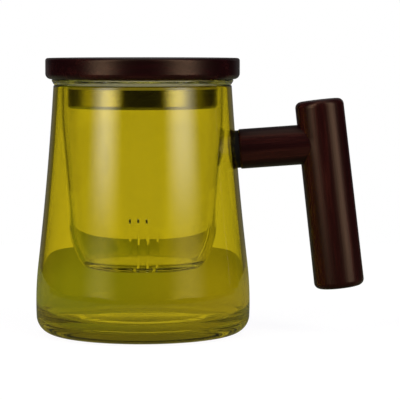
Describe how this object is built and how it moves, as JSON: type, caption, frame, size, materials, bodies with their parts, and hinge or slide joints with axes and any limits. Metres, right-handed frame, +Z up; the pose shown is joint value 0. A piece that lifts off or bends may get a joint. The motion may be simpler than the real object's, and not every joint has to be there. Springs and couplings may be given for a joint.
{
  "type": "lidded tea mug with infuser",
  "caption": "Flared amber glass tea mug with a round wooden T-shaped handle, a lift-out slotted glass infuser, and a flat wooden lid with a steel-cased plug.",
  "frame": {"origin": "where the mug's axis meets the surface it stands on", "axes": "+Z up along the mug's axis, +X from the axis towards the handle, the picture's camera looks along +Y"},
  "size_m": [0.1487, 0.0968, 0.1243],
  "materials": {
    "amber_glass": "blown, fire-polished",
    "clear_glass": "clear, sawn slits",
    "dark_wood": "oiled satin",
    "dowel_wood": "unfinished beech",
    "polished_steel": "polished",
    "dark_silicone": "matt",
    "pale_silicone": "milky, matt"
  },
  "bodies": {
    "mug": {"mug_body": "amber_glass", "handle_washer": "dark_silicone", "handle_arm": "dark_wood", "handle_dowel": "dowel_wood", "handle_grip": "dark_wood"},
    "infuser": {"infuser_glass": "clear_glass"},
    "lid": {"lid_disc": "dark_wood", "lid_steel_cup": "polished_steel", "lid_seal": "pale_silicone"}
  },
  "joints": [
    {"name": "infuser_lift", "type": "slide", "parent": "mug", "child": "infuser", "axis": [0, 0, 1], "range_m": [0, 0.1]},
    {"name": "lid_lift", "type": "slide", "parent": "infuser", "child": "lid", "axis": [0, 0, 1], "range_m": [0, 0.06]}
  ]
}
